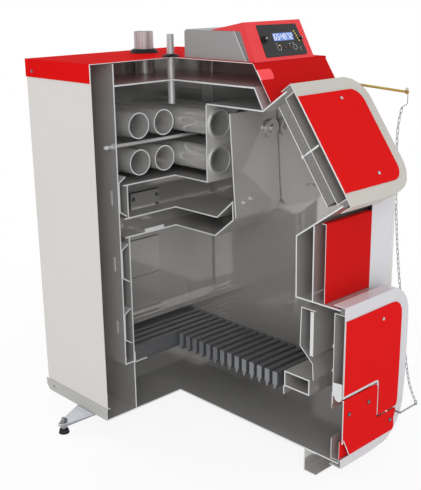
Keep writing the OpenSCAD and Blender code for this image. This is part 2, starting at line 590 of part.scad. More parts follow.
// ---- draught control ----
module regulator_body() color("goldenrod") place() translate([0, -395, lever_z]) rotate([0, 90, 0]) {
  translate([0, 0, hw + 0.1]) cylinder(r = 11, h = 4, $fn = 6);
  translate([0, 0, hw + 4]) cylinder(r = 9, h = lever_x - 4.2 - hw - 4);
  translate([0, 0, hw]) cylinder(r = 5, h = lever_x + 8 - hw);
  translate([0, 0, lever_x + 4.2]) cylinder(r = 7, h = 3.6);
}
module draught_lever() color("goldenrod") place()
  translate([lever_x, -395, lever_z]) rotate([3, 0, 0]) difference() {
  union() {
    rotate([0, 90, 0]) translate([0, 0, -4]) cylinder(r = 9.5, h = 8);
    rotate([90, 0, 0]) cylinder(r = 3.6, h = lever_len);
    translate([0, -lever_len, 0]) rotate([0, 90, 0]) translate([0, 0, -2]) cylinder(r = 6, h = 4);
  }
  rotate([0, 90, 0]) cylinder(r = 5.15, h = 30, center = true);
  translate([0, -lever_len, 0]) rotate([0, 90, 0]) cylinder(r = 2.4, h = 30, center = true);
}
// slack chain drawn as one rod: down from the lever, then outwards to the flap's arm
chain_path = [tip, [-585, 960], [-572, 930], [-571, 860], [-574, 760], [-579, 660], [-587, 567], [-596, 495],
  [-607, 415], [-619, 335], [-630, 270], [-639, 200], [-648, 150], [-661, 112], low];
module chain() color("silver") place() {
  translate([lever_x - 4, tip[0], tip[1]]) rotate([0, 90, 0])
    cylinder(r = 1.9, h = chain_x - lever_x + 5.6, $fn = 24);
  for (i = [0:len(chain_path) - 2]) let (a = chain_path[i], b = chain_path[i+1], v = b - a)
    translate([chain_x, a[0], a[1]]) rotate([atan2(v[1], v[0]), 0, 0]) rotate([-90, 0, 0]) {
      cylinder(r = 1.6, h = norm(v), $fn = 12);
      sphere(r = 1.6, $fn = 12);
    }
}

base_plate();
sills();
front_rail();
foot_brackets();
foot_screws();
foot_pads();
side_panels();
back_panel();
top_cover();
slope_cover();
middle_panel();
front_frame();
control_housing();
control_hood();
control_fascia();
control_buttons();
flow_pipe();
sensor_sleeve();
pipe_collars();
return_pipe();
outer_walls();
inner_walls();
jacket_top();
back_plates();
front_tube_plate();
fire_tubes();
tube_floor();
water_baffle();
mouth_top_plate();
front_jacket();
wall_stays();
rear_fire_plates();
grate();
grate_supports();
ash_guard();
cleaning_door();
smoke_box();
hinge_brackets();
upper_door_skin();
upper_door_panel();
upper_door_pan();
upper_door_lining();
lower_door_skin();
lower_door_panel();
lower_door_pan();
lower_door_seal();
air_flap();
regulator_body();
draught_lever();
chain();
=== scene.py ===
# %% [markdown]
# # A solid fuel boiler, opened to show how it works
# The real object is a floor standing boiler of welded plate in a powder coated casing.
# Its front left quarter is cut away, so the water jacket, the fire tubes, the grate and
# both doors are seen in section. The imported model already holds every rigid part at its
# real size; this lesson gives those parts their finishes and adds the small things that
# are drawn and not built, such as screws, weld beads, chain links and the display.

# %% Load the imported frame
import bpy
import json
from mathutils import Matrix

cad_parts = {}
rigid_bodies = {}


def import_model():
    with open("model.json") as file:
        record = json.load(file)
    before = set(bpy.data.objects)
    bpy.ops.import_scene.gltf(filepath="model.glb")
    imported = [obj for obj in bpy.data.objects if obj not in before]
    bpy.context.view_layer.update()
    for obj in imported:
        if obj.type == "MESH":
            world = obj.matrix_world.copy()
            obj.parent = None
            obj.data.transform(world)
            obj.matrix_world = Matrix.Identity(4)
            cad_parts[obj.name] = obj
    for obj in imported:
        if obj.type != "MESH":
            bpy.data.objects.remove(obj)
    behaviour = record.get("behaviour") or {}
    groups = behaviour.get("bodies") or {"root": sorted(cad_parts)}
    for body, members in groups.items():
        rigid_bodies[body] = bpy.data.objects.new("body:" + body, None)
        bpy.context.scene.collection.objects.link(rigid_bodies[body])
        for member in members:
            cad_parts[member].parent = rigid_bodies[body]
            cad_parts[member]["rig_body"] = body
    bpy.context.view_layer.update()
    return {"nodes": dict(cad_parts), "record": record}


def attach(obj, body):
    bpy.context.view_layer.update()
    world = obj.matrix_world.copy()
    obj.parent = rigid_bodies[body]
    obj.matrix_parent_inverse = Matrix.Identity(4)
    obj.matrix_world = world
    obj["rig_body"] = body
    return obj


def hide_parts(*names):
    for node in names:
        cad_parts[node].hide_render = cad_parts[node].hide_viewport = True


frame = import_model()

import json
import math

import bmesh
import bpy
import numpy as np
from mathutils import Matrix, Vector

nodes = frame["nodes"]

# %% [markdown]
# ## Places
# The boiler was drawn in millimetres from its own section planes: x from the middle, y
# from the cross section, z from the underside of the base plate. A helper turns such a
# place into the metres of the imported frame. Two more do it for the sloping loading door
# and for the leaning face of the control unit, which have axes of their own: down the
# face, and straight out of it. The last two stand off from upright plates.

# %% From drawing places to the frame
MM = 0.001
ORIGIN = np.array([0.0, 148.5, 70.0])
SLOPE, LEAN = math.radians(54.6), math.atan(46 / 103)
LIP = np.array([-445.0, 1001.6])
HOOD = np.array([-278.0, 1171.0])
CUT_X, CUT_Y = -5.0, 0.0
DOOR_Y, REAR_PLATE_Y = -661.0, 170.0
LID_Z, JACKET_Z = 1067.1, 1004.3


def place3(x, y, z):
    """Drawing place as one array with x, y, z along its last axis (mm)."""
    return np.stack(np.broadcast_arrays(x, y, z), -1).astype(float)


def to_frame(points):
    """Drawing places (mm) to frame places (m): shift by ORIGIN, then scale."""
    return (np.asarray(points, float) + ORIGIN) * MM


def on_slope(x, d, n):
    """Place on the loading door: the lip, d along the slope downwards, n along its outward normal."""
    y = LIP[0] - d * math.cos(SLOPE) - n * math.sin(SLOPE)
    z = LIP[1] - d * math.sin(SLOPE) + n * math.cos(SLOPE)
    return place3(x, y, z)


def on_hood(x, v, n):
    """Place on the control unit's face: its upper edge, v down the face, n along its outward normal."""
    y = HOOD[0] - v * math.sin(LEAN) - n * math.cos(LEAN)
    z = HOOD[1] - v * math.cos(LEAN) + n * math.sin(LEAN)
    return place3(x, y, z)


def on_front(x, z, n):
    """Place in front of the lower door's face: n millimetres out from the red inlay."""
    return place3(x, DOOR_Y - n, z)


def on_rear_plate(x, z, n):
    """Place in front of the firebox's rear plate, n millimetres out."""
    return place3(x, REAR_PLATE_Y - n, z)


SLOPE_OUT = (0.0, -math.sin(SLOPE), math.cos(SLOPE))
HOOD_OUT = (0.0, -math.cos(LEAN), math.sin(LEAN))
print("lip of the loading mouth:", to_frame(on_slope(0, 0, 0)).round(4))

# %% [markdown]
# ## Camera
# The boiler is looked at from the front left and a little above, with a moderate lens.
# The turn is built from three plain rotations: tilt up from straight down, roll, and
# swing round the vertical, so each number can be read as an angle.

# %% Camera
EYE = (-1.7114, -1.7986, 1.3451)
SWING, DOWN, ROLL = -43.545, 16.818, -0.801
lens = bpy.data.cameras.new("camera")
lens.lens, lens.sensor_width = 63.915, 36
camera = bpy.data.objects.new("camera", lens)
camera.matrix_world = (
    Matrix.Translation(EYE)
    @ Matrix.Rotation(math.radians(SWING), 4, "Z")
    @ Matrix.Rotation(math.radians(90 - DOWN), 4, "X")
    @ Matrix.Rotation(math.radians(ROLL), 4, "Z")
)
bpy.context.scene.collection.objects.link(camera)
bpy.context.scene.camera = camera
print("camera at", EYE)

# %% [markdown]
# ## Writing shader maths as sums
# A procedural finish is arithmetic on coordinates. Wiring Math nodes by hand hides that,
# so Sock wraps an output socket and overloads the operators: `1 - mask * 0.5` adds the
# two nodes it needs. Finish holds one material and one method that makes any node.

# %% Sock and Finish
class Sock:
    """An output socket that can stand in a sum; each operator adds one Math node."""

    def __init__(self, finish, socket):
        self.finish, self.socket = finish, socket

    def math(self, operation, *values):
        return self.finish.node("ShaderNodeMath", {"operation": operation}, *values)

    def __add__(self, other):
        return self.math("ADD", self, other)

    def __mul__(self, other):
        return self.math("MULTIPLY", self, other)

    def __sub__(self, other):
        return self.math("SUBTRACT", self, other)

    def __rsub__(self, other):
        return self.math("SUBTRACT", other, self)

    def __lt__(self, other):
        return self.math("LESS_THAN", self, other)

    def __gt__(self, other):
        return self.math("GREATER_THAN", self, other)

    def __abs__(self):
        return self.math("ABSOLUTE", self)

    __radd__ = __add__
    __rmul__ = __mul__


class Finish:
    """One material: node() makes any node, look() sets or links the shader's own sockets."""

    def __init__(self, name):
        self.material = bpy.data.materials.new(name)
        self.material.use_nodes = True
        self.tree = self.material.node_tree
        self.shader = self.tree.nodes["Principled BSDF"]
        self.place = self.node("ShaderNodeTexCoord", out="Object")

    def plug(self, socket, value):
        if isinstance(value, Sock):
            self.tree.links.new(value.socket, socket)
        else:
            socket.default_value = value

    def node(self, kind, settings=None, *values, out=0, **named):
        made = self.tree.nodes.new(kind)
        for key, value in (settings or {}).items():
            setattr(made, key, value)
        for socket, value in zip(made.inputs, values):
            if value is not None:
                self.plug(socket, value)
        for key, value in named.items():
            self.plug(made.inputs[key.replace("_", " ")], value)
        return Sock(self, made.outputs[out])

    def look(self, **named):
        for key, value in named.items():
            self.plug(self.shader.inputs[key.replace("_", " ")], value)
        return self

    def axis(self, k):
        """One coordinate of the piece's own place, in metres: 0, 1, 2 for x, y, z."""
        return self.node("ShaderNodeSeparateXYZ", None, self.place, out=k)

    def noise(self, scale, detail=2.0, stretch=None):
        """Soft random value near 0.5 with features about 1/scale metres across, stretched per axis."""
        place = self.place
        if stretch:
            place = self.node("ShaderNodeMapping", None, place, Scale=stretch)
        return self.node("ShaderNodeTexNoise", None, Vector=place, Scale=scale, Detail=detail)

    def ramp(self, value, low, high):
        """0 below low, 1 above high, and a straight rise between them."""
        return self.node("ShaderNodeMapRange", None, value, low, high, 0.0, 1.0)

    def mix(self, share, under, over):
        """Colour under where share is 0 and over where it is 1."""
        made = self.tree.nodes.new("ShaderNodeMix")
        made.data_type = "RGBA"
        for k, value in ((0, share), (6, under), (7, over)):
            self.plug(made.inputs[k], value)
        return Sock(self, made.outputs[2])

    def bump(self, height, distance, strength=1.0):
        return self.node("ShaderNodeBump", None, Height=height, Distance=distance, Strength=strength)


def rgb(text):
    """Colour written as on a paint card (hex, display values) to the linear values a shader needs."""
    c = np.array([int(text[k:k + 2], 16) for k in (0, 2, 4)]) / 255
    linear = np.where(c <= 0.04045, c / 12.92, ((c + 0.055) / 1.055) ** 2.4)
    return (*linear.tolist(), 1.0)


print("light grey paint in linear values:", [round(v, 3) for v in rgb("d8d8d6")])

# %% [markdown]
# ## Finishes
# Every steel part that the saw went through shows a bright machined face on the section
# plane. The mask for it is pure geometry: a face belongs to the cut when it lies within a
# third of a millimetre of one of the two planes that bound the missing quarter.

# %% The mask for sawn faces
def sawn(f):
    """1 on the section planes x = CUT_X (in front) and y = CUT_Y (left of the middle), else 0."""
    x, y = f.axis(0), f.axis(1)
    x_cut, y_cut = CUT_X * MM, (CUT_Y + ORIGIN[1]) * MM
    tol = 0.35 * MM
    side_cut = (abs(x - x_cut) < tol) * (y < y_cut + tol)
    cross_cut = (abs(y - y_cut) < tol) * (x < x_cut + tol)
    return side_cut.math("MAXIMUM", side_cut, cross_cut)


def drift(f, colour, swing, scale):
    """Paint card colour that wanders by +-swing with soft noise of that scale."""
    dark = tuple(c * (1 - swing) for c in colour[:3]) + (1,)
    pale = tuple(min(1, c * (1 + swing)) for c in colour[:3]) + (1,)
    return f.mix(f.noise(scale, 4), dark, pale)


CUT_STEEL = rgb("dfe0e1")
print("bright sawn steel:", [round(v, 3) for v in CUT_STEEL])

# %% [markdown]
# Mill finish plate is a metal with a thin oxide film. Inside the boiler it is clean and
# glossy enough to mirror the grate in the side wall, so it is part metal with a low
# roughness that wanders along the rolling direction. The rolling marks are a noise
# squeezed to long thin streaks, and the sawn faces get fine parallel blade marks. The
# inner walls also carry painted shade: their colour darkens low down and towards the front.

# %% Plate and steel finishes
LOW_SHADE_FULL, LOW_SHADE_NONE = 0.20, 0.42  # heights (m) where the painted shade is full, and gone
BACK_FULL, BACK_NONE = 0.0, 0.25  # depths (m) where the painted shade is full, and gone


def plate(name, colour, rough, metal, grain=0.05, swing=0.10, drawn=0.0, ash=0.0):
    """Oxide film colour, with drawn lines along z, or painted shade low down in front."""
    f = Finish(name)
    cut = sawn(f)
    streaks = f.noise(60, 3, (1.0, 1.0, 0.06))
    fine = f.noise(900, 2)
    blade = f.noise(700, 1, (0.05, 0.05, 1.0))
    film = drift(f, rgb(colour), swing, 7)
    if drawn:
        lines = f.ramp(f.noise(170, 2, (1.0, 1.0, 0.02)), 0.40, 0.60)
        film = f.mix(lines * drawn, film, rgb("4c4848"))
    # painted shade: the colour darkens towards 5c5a58 low down and towards the front, where the firebox
    # lies in shade
    if ash:
        low = 1 - f.ramp(f.axis(2), LOW_SHADE_FULL, LOW_SHADE_NONE)
        front = 1 - f.ramp(f.axis(1), BACK_FULL, BACK_NONE)
        film = f.mix(low * front * ash, film, rgb("5c5a58"))
    f.look(
        Base_Color=f.mix(cut, film, drift(f, CUT_STEEL, 0.06, 260)),
        Metallic=metal * (1 - cut * 0.7),
        Roughness=rough + (streaks - 0.4) * 0.08 + cut * 0.3,
        Normal=f.bump(fine + blade * cut, grain * MM, 0.5),
    )
    return f.material


finishes = {
    "boiler_steel": plate("boiler_steel", "b6b5b3", 0.10, 0.45, 0.004),
    "inner_steel": plate("inner_steel", "bfbdba", 0.05, 0.50, 0.002),
    # steel with painted shade, darker low down and in front
    "low_shaded_steel": plate("low_shaded_steel", "bfbdba", 0.05, 0.50, 0.002, ash=0.40),
    "tube_steel": plate("tube_steel", "d2d1cf", 0.07, 0.50, 0.003),
    "pale_steel": plate("pale_steel", "c9c8c8", 0.24, 0.35, 0.01),
    "zinc_steel": plate("zinc_steel", "8f9196", 0.34, 0.60, 0.01),
    "pipe_steel": plate("pipe_steel", "c6c8c8", 0.30, 0.25, 0.01, drawn=0.4),
    "screw_steel": plate("screw_steel", "7d7f84", 0.26, 0.60, 0.01),
    "bright_steel": plate("bright_steel", "c2c3c4", 0.30, 0.35, 0.01),
    "end_steel": plate("end_steel", "d2d1cf", 0.24, 0.30, 0.01),
}
print("plate finishes:", sorted(finishes))

# %% [markdown]
# Powder coat is plastic melted onto the sheet: an even colour and a faint orange peel
# that only shows in the highlight. The coats here are of the satin kind, and the red has
# to stay deep under a white studio: its refractive index is set close to 1, so it mirrors
# little of the white, and it has no clear coat. The pale grey of the doors and frame is a
# finely grained coat, almost matt.

# %% Powder coats, plastics and the rest
def powder(name, colour, rough, ior, peel, peel_scale, swing=0.02, cut_colour=CUT_STEEL):
    f = Finish(name)
    cut = sawn(f)
    grain = f.noise(peel_scale, 2)
    f.look(
        Base_Color=f.mix(cut, drift(f, rgb(colour), swing, 5), cut_colour),
        Roughness=rough + (f.noise(30, 3) - 0.5) * 0.08,
        Metallic=cut * 0.3,
        Normal=f.bump(grain, peel * MM),
        IOR=ior,
    )
    return f.material


def cast_iron(name, low, high, rough):
    """Sand cast surface: two sizes of noise, the coarse one as pits."""
    f = Finish(name)
    grains, pits = f.noise(1400, 4), f.noise(260, 3)
    f.look(
        Base_Color=f.mix(sawn(f), f.mix(pits, rgb(low), rgb(high)), rgb("85878a")),
        Roughness=rough + (grains - 0.5) * 0.3,
        Metallic=0.35,
        Normal=f.bump(grains * 0.5 + pits, 0.25 * MM),
    )
    return f.material


def speckled(name):
    """Pressed mineral fibre: dark grey with pale flecks where a fine cell noise is low."""
    f = Finish(name)
    cells = f.node("ShaderNodeTexVoronoi", None, Vector=f.place, Scale=700.0)
    fleck = (cells < 0.34) * (f.noise(1500, 2) > 0.42)
    body = f.mix(f.noise(420, 4), rgb("5f5e5d"), rgb("8a8886"))
    f.look(
        Base_Color=f.mix(fleck, body, rgb("aaa8a5")),
        Roughness=0.95,
        Normal=f.bump(cells * 0.5 + f.noise(700, 3), 0.5 * MM),
    )
    return f.material


def moulded(name, colour, rough, shine=0.5, grain=0.02):
    f = Finish(name)
    f.look(
        Base_Color=drift(f, rgb(colour), 0.03, 9),
        Roughness=rough + (f.noise(40, 2) - 0.5) * 0.06,
        Normal=f.bump(f.noise(1800, 2), grain * MM),
        Specular_IOR_Level=shine,
    )
    return f.material


def glowing(name, colour, strength):
    """Display glass or lamp lit from behind, a little uneven."""
    f = Finish(name)
    f.look(
        Base_Color=rgb("0c1020"),
        Emission_Color=drift(f, rgb(colour), 0.12, 90),
        Emission_Strength=strength,
        Roughness=0.2 + f.noise(300, 2) * 0.1,
    )
    return f.material


finishes.update(
    sheet_grey=powder("sheet_grey", "dad7d4", 0.42, 1.30, 0.02, 700),
    sill_grey=powder("sill_grey", "b9b8b6", 0.42, 1.30, 0.02, 700),
    sheet_white=powder("sheet_white", "d3d2d6", 0.50, 1.30, 0.05, 1500),
    door_white=powder("door_white", "c4c1ba", 0.50, 1.30, 0.06, 1500),
    low_white=powder("low_white", "cecdd1", 0.24, 1.45, 0.02, 1500),
    sheet_red=powder("sheet_red", "d91a1b", 0.36, 1.05, 0.02, 450),
    lid_red=powder("lid_red", "de1717", 0.45, 1.015, 0.02, 450),
    cover_red=powder("cover_red", "c71a1a", 0.36, 1.05, 0.02, 450),
    cast=cast_iron("cast", "565759", "75777a", 0.36),
    refractory=speckled("refractory"),
    plastic_grey=moulded("plastic_grey", "969595", 0.42, 0.3),
    strip_grey=moulded("strip_grey", "7e7d7c", 0.42, 0.3),
    trim_grey=moulded("trim_grey", "d6d6d6", 0.42, 0.3),
    plastic_red=moulded("plastic_red", "e64448", 0.36, 0.12),
    plastic_black=moulded("plastic_black", "232325", 0.34, 0.25),
    rubber_black=moulded("rubber_black", "1f1f20", 0.62, 0.3, 0.05),
    brass=plate("brass", "b9a04c", 0.38, 0.15, 0.01, 0.06),
    weld=cast_iron("weld", "8f8e8d", "b3b2b0", 0.34),
    bright_weld=cast_iron("bright_weld", "a9a8a6", "d6d5d3", 0.30),
    coral=powder("coral", "ff5559", 0.36, 1.20, 0.02, 450),
    mark_white=moulded("mark_white", "e6e6e6", 0.5),
    lcd_blue=glowing("lcd_blue", "6f93e0", 0.9),
    lcd_white=glowing("lcd_white", "f2f6ff", 1.0),
    led_red=glowing("led_red", "e0482c", 0.9),
    led_yellow=glowing("led_yellow", "e8d24a", 0.9),
)
record_slot = {row["node"]: row["material_slot"] for row in frame["record"]["subparts"]}
finish_of = dict(
    # the inner walls take the steel with painted shade low down in front
    record_slot, fire_tubes="tube_steel", front_tube_plate="end_steel", inner_walls="low_shaded_steel",
    jacket_top="pale_steel", wall_stays="pale_steel", sensor_sleeve="pipe_steel", flow_pipe="pipe_steel",
    upper_door_skin="door_white", lower_door_skin="low_white", sills="sill_grey",
    top_cover="lid_red", slope_cover="cover_red", middle_panel="cover_red",
)
for name, node in nodes.items():
    node.data.materials.clear()
    node.data.materials.append(finishes[finish_of[name]])
print("finishes:", len(finishes), "on", len(nodes), "nodes")

# %% [markdown]
# ## Eased edges
# Pressed sheet and moulded plastic never end in a perfectly sharp edge; the small round
# is what catches the light. Each of these parts is copied, its triangles are merged into
# flat faces, and a Bevel modifier rounds what is left of the edges. Where one part shows
# two finishes, such as the bare badge plate on the red cover, the faces are chosen by
# where their middles lie, and get the second finish.

# %% Eased copies of the casing parts
def eased(name, width, segments=2):
    """Merged copy of a CAD node with rounded edges, width in mm; it stands for the node."""
    shape = bmesh.new()
    shape.from_mesh(nodes[name].data)
    bmesh.ops.remove_doubles(shape, verts=shape.verts, dist=2e-6)
    bmesh.ops.dissolve_limit(shape, angle_limit=math.radians(0.6), verts=shape.verts, edges=shape.edges)
    for face in shape.faces:
        face.smooth = True
    mesh = bpy.data.meshes.new(name + "_eased")
    shape.to_mesh(mesh)
    shape.free()
    obj = bpy.data.objects.new(name + "_eased", mesh)
    bpy.context.scene.collection.objects.link(obj)
    mesh.materials.append(finishes[finish_of[name]])
    bevel = obj.modifiers.new("rounded edges", "BEVEL")
    bevel.width, bevel.segments, bevel.limit_method = width * MM, segments, "ANGLE"
    bevel.angle_limit = math.radians(28)
    obj.modifiers.new("flat faces", "WEIGHTED_NORMAL")
    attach(obj, nodes[name]["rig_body"])
    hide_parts(name)
    return obj


def second_finish(obj, finish, chosen):
    """Gives the faces whose middles (mm, drawing places) pass the test another finish."""
    middles = np.empty(len(obj.data.polygons) * 3)
    obj.data.polygons.foreach_get("center", middles)
    marks = chosen(middles.reshape(-1, 3) / MM - ORIGIN).astype(np.int32)
    obj.data.materials.append(finishes[finish])
    obj.data.polygons.foreach_set("material_index", marks)
    print(obj.name, "faces in", finish + ":", int(marks.sum()))


EASED = {  # width of the round edge in mm
    "top_cover": 0.7, "slope_cover": 0.7, "middle_panel": 0.7, "front_frame": 0.6, "side_panels": 0.6,
    "sills": 0.6, "control_housing": 2.5, "control_hood": 2.5, "control_fascia": 0.4,
    "control_buttons": 0.5, "upper_door_skin": 0.7, "upper_door_panel": 1.2, "lower_door_skin": 0.7,
    "lower_door_panel": 1.2, "air_flap": 0.8, "grate": 1.2, "ash_guard": 0.8, "foot_brackets": 1.0,
    "front_rail": 0.8, "regulator_body": 0.5, "draught_lever": 0.5, "flow_pipe": 0.8,
    "sensor_sleeve": 0.6,
}
shaped = {name: eased(name, width) for name, width in EASED.items()}
COVER_TOP, COVER_SLOPE, BADGE_RISE = np.array([-325.1, 1064.8]), math.radians(56), 1.3
cover_out = np.array([-math.sin(COVER_SLOPE), math.cos(COVER_SLOPE)])
second_finish(shaped["slope_cover"], "coral", lambda p: (p[:, 1:] - COVER_TOP) @ cover_out > BADGE_RISE)
FLAP_FRONT_Y = -662.2
second_finish(shaped["air_flap"], "zinc_steel", lambda p: p[:, 1] < FLAP_FRONT_Y)
SEAM_TOP, SEAM_FOOT, SEAM_RIGHT = np.array([-242.6, 1148.0]), np.array([-290.0, 1066.0]), 20
seam_down = (SEAM_FOOT - SEAM_TOP) / np.linalg.norm(SEAM_FOOT - SEAM_TOP)
seam_out = np.array([seam_down[1], -seam_down[0]])
second_finish(shaped["control_housing"], "strip_grey",
              lambda p: ((p[:, 1:] - SEAM_TOP) @ seam_out > 0.5) & (p[:, 0] < SEAM_RIGHT))
print("eased:", len(EASED))

# %% [markdown]
# ## Surfaces as arrays
# Every small piece below is a grid of points: rows run along the piece, columns run round
# it. One function joins neighbours into quads and closes the ends, whatever the shape is.
# Three makers fill such a grid: a profile turned about an axis (screws, lamps), a wire
# along a path (hook, rings, chain links), and an outline pushed straight out (marks).

# %% Grid to surface
def surface(points, ring=False, tube=False, first=False, last=False):
    """Quads over points[i, j]; ring closes j, tube closes i, first and last cap the end rows."""
    rows, cols = points.shape[:2]
    index = np.arange(rows * cols).reshape(rows, cols)
    i, j = np.arange(rows if tube else rows - 1), np.arange(cols if ring else cols - 1)
    steps = ((0, 0), (0, 1), (1, 1), (1, 0))
    corners = [index[np.ix_((i + p) % rows, (j + q) % cols)] for p, q in steps]
    faces = np.stack(corners, -1).reshape(-1, 4).tolist()
    if first:
        faces.append(index[0, ::-1].tolist())
    if last:
        faces.append(index[-1].tolist())
    return points.reshape(-1, 3), faces


def across(axis):
    """Unit vectors u, v, w with w along the axis and u x v = w."""
    w = np.array(axis, float) / np.linalg.norm(axis)
    side = np.cross((0, 0, 1) if abs(w[2]) < 0.9 else (0, -1, 0), w)
    u = side / np.linalg.norm(side)
    return u, np.cross(w, u), w


def turned(profile, base, axis, sides=24):
    """Rows (radius r, height h, hexagon 0 or 1) turned about the axis from base:
    place = base + h w + r f(a) (u cos a + v sin a),
    where f(a) = cos 30 / cos(a mod 60 - 30) in a hexagon row and 1 in a round one."""
    rows = np.array([(*row, 0)[:3] for row in profile], float)
    a = np.arange(sides) * 2 * math.pi / sides
    u, v, w = across(axis)
    flat = math.cos(math.pi / 6) / np.cos(a % (math.pi / 3) - math.pi / 6)
    r = rows[:, :1] * (1 + rows[:, 2:] * (flat - 1))
    round_it = np.outer(np.cos(a), u) + np.outer(np.sin(a), v)
    points = np.array(base, float) + rows[:, 1, None, None] * w + r[..., None] * round_it
    return surface(points, ring=True, first=True, last=True)


def swept(path, radius, square, sides=8, closed=False):
    """Round wire on a path in the plane square to `square`: path + r (cos a n + sin a t x n)."""
    path, n = np.array(path, float), np.array(square, float)
    if closed:
        t = np.roll(path, -1, 0) - np.roll(path, 1, 0)
    else:
        t = np.gradient(path, axis=0)
    t /= np.linalg.norm(t, axis=1, keepdims=True)
    a = np.arange(sides) * 2 * math.pi / sides
    m = np.cross(t, n)
    points = path[:, None] + radius * (np.cos(a)[:, None] * n + np.sin(a)[:, None] * m[:, None])
    return surface(points, ring=True, tube=closed, first=not closed, last=not closed)


def pushed(outline, on, low, high):
    """Flat outline (x, s pairs, anticlockwise seen from outside) between two heights of a face."""
    outline = np.array(outline, float)
    points = np.stack([on(outline[:, 0], outline[:, 1], h) for h in (low, high)])
    return surface(points, ring=True, first=True, last=True)


def smoothed(path, rounds=3):
    """Corner cutting: each round puts points at a quarter and three quarters of every stretch."""
    path = np.array(path, float)
    for _ in range(rounds):
        here, after = path[:-1], path[1:]
        cut = np.stack([0.75 * here + 0.25 * after, 0.25 * here + 0.75 * after], 1)
        path = np.concatenate([path[:1], cut.reshape(-1, path.shape[1]), path[-1:]])
    return path


def piece(name, shapes, finish, body, sharp=40):
    """All the shapes (mm, drawing places) as one mesh with edges sharper than that angle kept crisp."""
    starts = np.cumsum([0] + [len(points) for points, _ in shapes])
    faces = [[k + start for k in face] for start, (_, some) in zip(starts, shapes) for face in some]
    mesh = bpy.data.meshes.new(name)
    mesh.from_pydata(to_frame(np.concatenate([points for points, _ in shapes])).tolist(), [], faces)
    mesh.materials.append(finishes[finish])
    mesh.shade_smooth()
    mesh.set_sharp_from_angle(angle=math.radians(sharp))
    obj = bpy.data.objects.new(name, mesh)
    bpy.context.scene.collection.objects.link(obj)
    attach(obj, body)
    print(name + ":", len(shapes), "shapes,", len(faces), "faces")
    return obj


print("three makers: turned, swept and pushed")

# %% [markdown]
# ## Screws
# The inlays and covers are held by button head screws with a hexagon socket, on a thin
# washer; the washers are black, partly painted shade that stands for the shadow round each
# head. The plates inside are held by hexagon bolts. One profile each, turned about the screw's
# axis, gives the head, and the socket is the same profile going back in as a hexagon.

# %% Button head and hexagon screws
def button_head(base, axis, r):
    """Domed head of radius r with a hexagon socket."""
    dome = [(r, 0.4), (r, 1.2), (r * 0.93, 1.9), (r * 0.76, 2.5), (r * 0.52, 2.8)]
    socket = [(r * 0.42, 2.8, 1), (r * 0.42, 1.4, 1), (r * 0.1, 1.2, 1)]
    return turned(dome + socket, base, axis)


def washer(base, axis, r):
    """Thin washer with a rounded rim, under a head; in black it is partly painted shade round the head.
    """
    return turned([(r, 0), (r, 0.6), (r - 0.4, 0.9), (r * 0.5, 0.9)], base, axis, 32)


def hex_bolt(base, axis, r, h):
    """Hexagon head of height h with a chamfered top, corner radius r, on a round washer."""
    rim = [(r * 1.3, 0), (r * 1.3, 0.9), (r * 1.24, 1.1)]
    head = [(r * 0.99, 1.1, 1), (r, 1.3, 1), (r, h - 0.7, 1), (r * 0.86, h), (r * 0.3, h)]
    return turned(rim + head, base, axis)


FRONT, REAR, TOP = (0, -1, 0), (0, 1, 0), (0, 0, 1)
UPPER_SCREWS = [(159.3, 52.4), (158.4, 279.7)]
FLAP_SCREWS = [(20.7, 147.2), (108.2, 152.9), (216.2, 57.8)]
places = {
    "upper_door": [(on_slope(x, d, 25.0), SLOPE_OUT) for x, d in UPPER_SCREWS],
    "lower_door": [(on_front(161.4, 385.1, 0.0), FRONT)],
    "flap": [(on_front(x, z, 0.5), FRONT) for x, z in FLAP_SCREWS],
}
DOOR_SIZES, FLAP_SIZES = (5.2, 4.7, "bright_steel"), (6.9, 4.4, "screw_steel")
for body, spots in places.items():
    rim_r, head_r, steel = FLAP_SIZES if body == "flap" else DOOR_SIZES
    heads = [button_head(p, out, head_r) for p, out in spots]
    shade_rims = [washer(p, out, rim_r) for p, out in spots]
    piece(body + "_screws", heads, steel, body)
    # black washers: partly real, partly painted shade round each screw head
    piece(body + "_washers", shade_rims, "rubber_black", body)
print("screws on the doors:", len(UPPER_SCREWS) + 1 + len(FLAP_SCREWS))

# %% [markdown]
# The casing is closed with the same kind of screws: one in the lid's skirt and one in the
# sill on each side, and a row down each edge of the back panel. Inside, the cleaning
# plate in front of the fire tubes is held by two hexagon bolts.

# %% Screws of the casing
SKIRT_X, SILL_X, BACK_X, BACK_Y = 303.0, 302.6, 288.0, 315.7
casing = []
for side in (-1, 1):
    casing += [((side * SKIRT_X, 283.1, 1032.2), (side, 0, 0))]
    casing += [((side * SILL_X, 283.7, 18.6), (side, 0, 0))]
casing += [((side * BACK_X, BACK_Y, z), REAR) for z in (70, 300, 530, 760, 990) for side in (-1, 1)]
# black washers here too: partly painted shade round each screw head
shade_rims, heads = [washer(p, out, 4.6) for p, out in casing], [button_head(p, out, 3.9) for p, out in casing]
piece("casing_washers", shade_rims, "rubber_black", "boiler")
piece("casing_screws", heads, "screw_steel", "boiler")
CLEANING_Y, CLEANING_BOLTS = -255.4, [(28.6, 668.0), (57.0, 675.0)]
piece("cleaning_plate_bolts", [hex_bolt((x, CLEANING_Y, z), FRONT, 5.0, 9.0) for x, z in CLEANING_BOLTS],
      "bright_steel", "boiler")

# %% [markdown]
# The tie rod through the water jacket ends in cap nuts, two bolts hold the lining in the
# pan of the lower door, and a bolted hatch closes the rear plate of the firebox. A black
# rim round the hatch, wider at top and bottom, is painted shadow along its edges.

# %% Nuts, hatch and pan bolts
TIE_X, TIE_Y, TIE_Z = 249.0, 9.0, 832.0


def cap_nut(base, axis):
    """Hexagon nut with a domed end."""
    rows = [(6.6, -1.0, 1), (6.6, 4.0, 1), (5.4, 4.6), (5.2, 7.0), (4.2, 9.6), (2.0, 11.0)]
    return turned(rows, base, axis)


